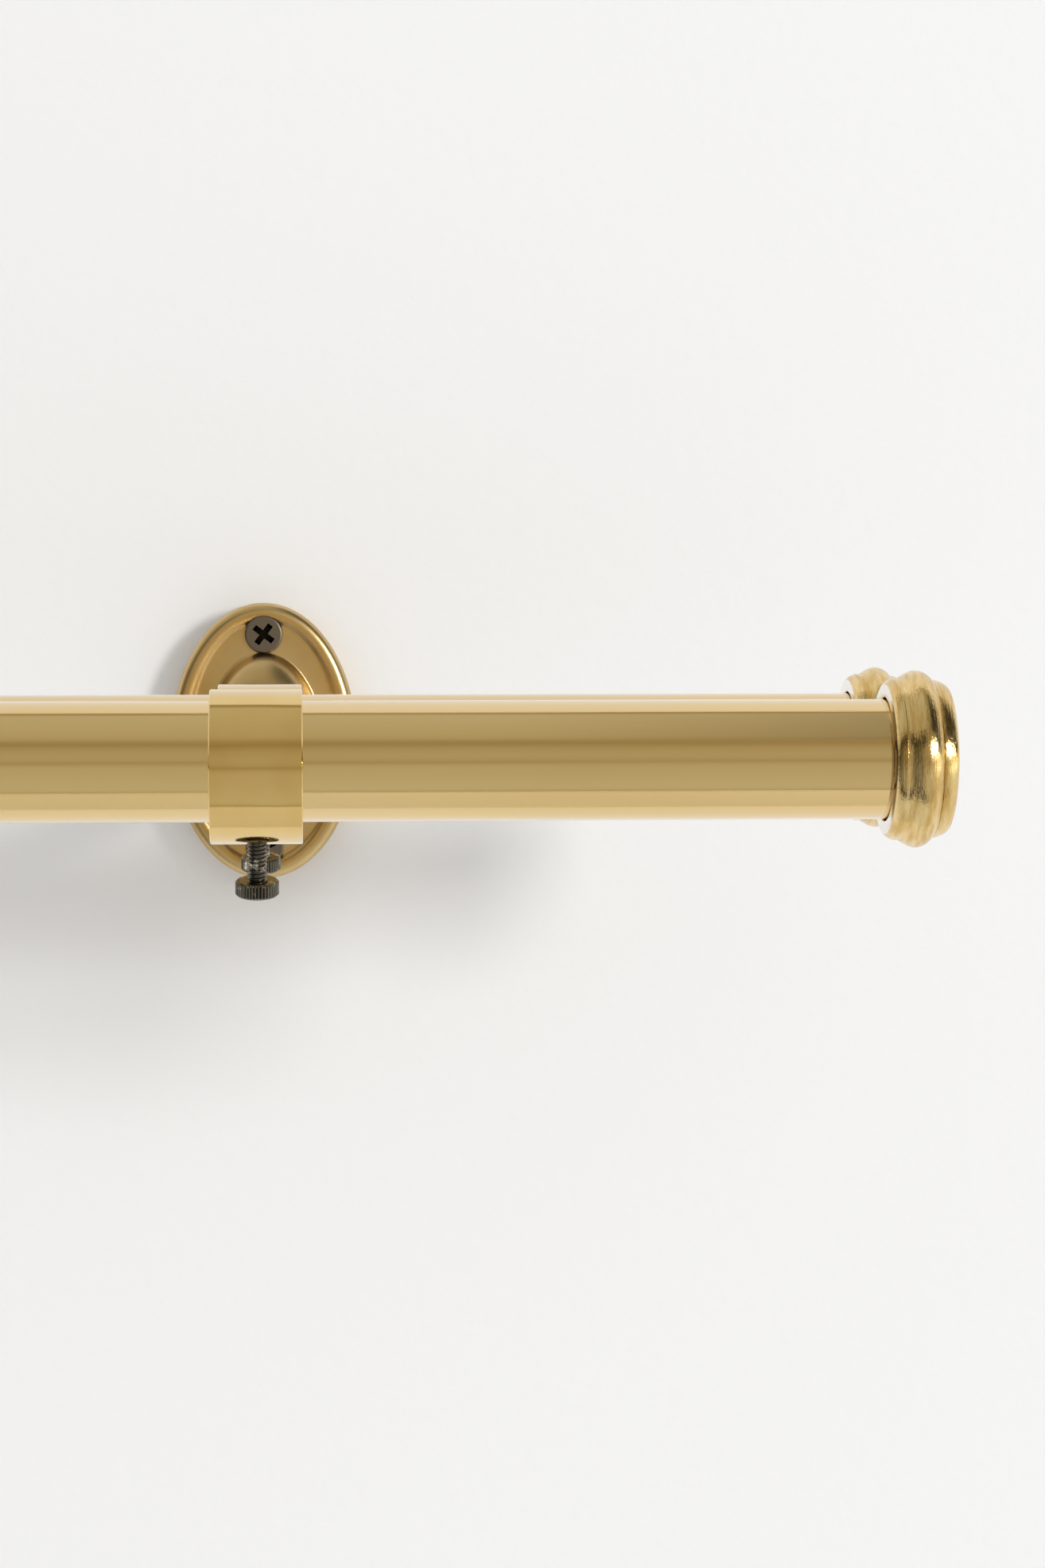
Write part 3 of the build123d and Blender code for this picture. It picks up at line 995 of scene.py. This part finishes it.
def buildFinials():
    part = finial
    for end, side in (("right", 1), ("left", -1)):
        socket = part["sockets"][end]
        inside = [(part["socketDepth"], socket)] + [(along, socket + flare) for along, flare in part["mouth"]]
        outline = [(radius / 1000, along / 1000) for along, radius in inside + list(part["outline"])]
        pattern = growRings("turned_finial", part["around"], roundStations(outline), True, True)
        turnOutward(pattern)
        smooth(pattern, part["smoothBelow"])
        pattern.data.materials.append(finishes["finial"])
        for rod, shift in (("rear", layout["rearShift"]), ("front", 0.0)):
            name = f"{rod}_{end}_finial"
            along = side * layout["finialBack"] + shift
            place = (along, layout[rod] - layout["tubeSetBack"], layout["tubeLift"])
            made = settledCopy(pattern, "turned_" + name, (0, side * radians(90), 0), place)
            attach(made, name)
            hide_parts(name)
        dropPattern(pattern)


buildFinials()
print("finials done")

# Oval wall plates: pressed sheet with a rolled rim, a valley, a flat and a domed boss
plate = {
    "halfWidth": 0.0243,
    "halfHeight": 0.03618,
    "sheet": 0.0009,
    "side": 0.0045,
    "crest": 0.0116,
    "outerRound": 0.0026,
    "innerRound": 0.0032,
    "valleyRound": 0.0022,
    "flat": 0.0106,
    "domeWidth": 0.0146,
    "domeHeight": 0.0224,
    "domeRise": 0.0078,
    "topWidth": 0.0068,
    "topHeight": 0.0084,
    "topInset": (0.7, 0.65),
    "footRound": 0.0008,
    "footSpread": 1.15,
    "footTurn": 62,
    "domeFrom": 20,
    "armHole": 0.00255,
    "screwHole": 0.0038,
    "punch": 0.02,
    "punchSides": 64,
    "around": 168,
    "steps": {"outer": 7, "inner": 5, "valley": 6, "foot": 4, "dome": 12},
    "smoothBelow": 40,
}


# The profile's points are inset from the plate's edge and height off the wall
def plateStations():
    part = plate
    outer = part["outerRound"]
    inner = part["innerRound"]
    valley = part["valleyRound"]
    steps = part["steps"]
    profile = [(0.0, 0.0), (0.0, part["side"]), (0.0, part["crest"] - outer)]
    for step in range(1, steps["outer"] + 1):
        angle = radians(180 - 90 * step / steps["outer"])
        profile.append((outer + outer * cos(angle), part["crest"] - outer + outer * sin(angle)))
    innerLevel = part["crest"] - inner
    valleyLevel = part["flat"] + valley
    slope = asin((valleyLevel - innerLevel) / (inner + valley))
    for step in range(1, steps["inner"] + 1):
        angle = pi / 2 - (pi / 2 - slope) * step / steps["inner"]
        profile.append((outer + inner * cos(angle), innerLevel + inner * sin(angle)))
    valleyInset = outer + (inner + valley) * cos(slope)
    for step in range(1, steps["valley"] + 1):
        angle = pi + slope + (pi / 2 - slope) * step / steps["valley"]
        profile.append((valleyInset + valley * cos(angle), valleyLevel + valley * sin(angle)))
    stations = [(part["halfWidth"] - inset, part["halfHeight"] - inset, level) for inset, level in profile]
    foot = part["footRound"]
    for step in range(steps["foot"] + 1):
        angle = radians(270 + part["footTurn"] * step / steps["foot"])
        spread = foot * (part["footSpread"] - cos(angle))
        level = part["flat"] + foot * (1 + sin(angle))
        stations.append((part["domeWidth"] + spread, part["domeHeight"] + spread, level))
    startWidth, startHeight, startLevel = stations[-1]
    top = part["flat"] + part["domeRise"]
    start = radians(part["domeFrom"])
    for step in range(1, steps["dome"] + 1):
        angle = start + (pi / 2 - start) * step / steps["dome"]
        share = cos(angle) / cos(start)
        rise = (sin(angle) - sin(start)) / (1 - sin(start))
        width = part["topWidth"] + (startWidth - part["topWidth"]) * share
        height = part["topHeight"] + (startHeight - part["topHeight"]) * share
        stations.append((width, height, startLevel + (top - startLevel) * rise))
    insetWidth, insetHeight = part["topInset"]
    stations.append((part["topWidth"] * insetWidth, part["topHeight"] * insetHeight, top))
    stations.append((part["armHole"], part["armHole"], top))
    return stations


def buildWallPlates():
    part = plate
    shell = growRings("pressed_plate", part["around"], plateStations())
    turnOutward(shell)
    applyModifier(shell, "SOLIDIFY", thickness=part["sheet"], offset=-1.0, use_even_offset=True)
    for height in (layout["wallScrew"], -layout["wallScrew"]):
        bpy.ops.object.select_all(action="DESELECT")
        bpy.ops.mesh.primitive_cylinder_add(
            vertices=part["punchSides"],
            radius=part["screwHole"],
            depth=part["punch"],
            location=(0, height, part["punch"] / 2),
        )
        punch = bpy.context.active_object
        applyModifier(shell, "BOOLEAN", operation="DIFFERENCE", solver="EXACT", object=punch)
        dropPattern(punch)
    smooth(shell, part["smoothBelow"])
    shell.data.materials.append(finishes["wall_plate"])
    for side in ("left", "right"):
        name = f"{side}_wall_plate"
        made = settledCopy(shell, "pressed_" + name, (radians(90), 0, 0), (layout[side], 0, 0))
        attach(made, "brackets")
        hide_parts(name)
    dropPattern(shell)


buildWallPlates()
print("wall plates done")


bpy.context.scene.view_settings.view_transform = "Standard"
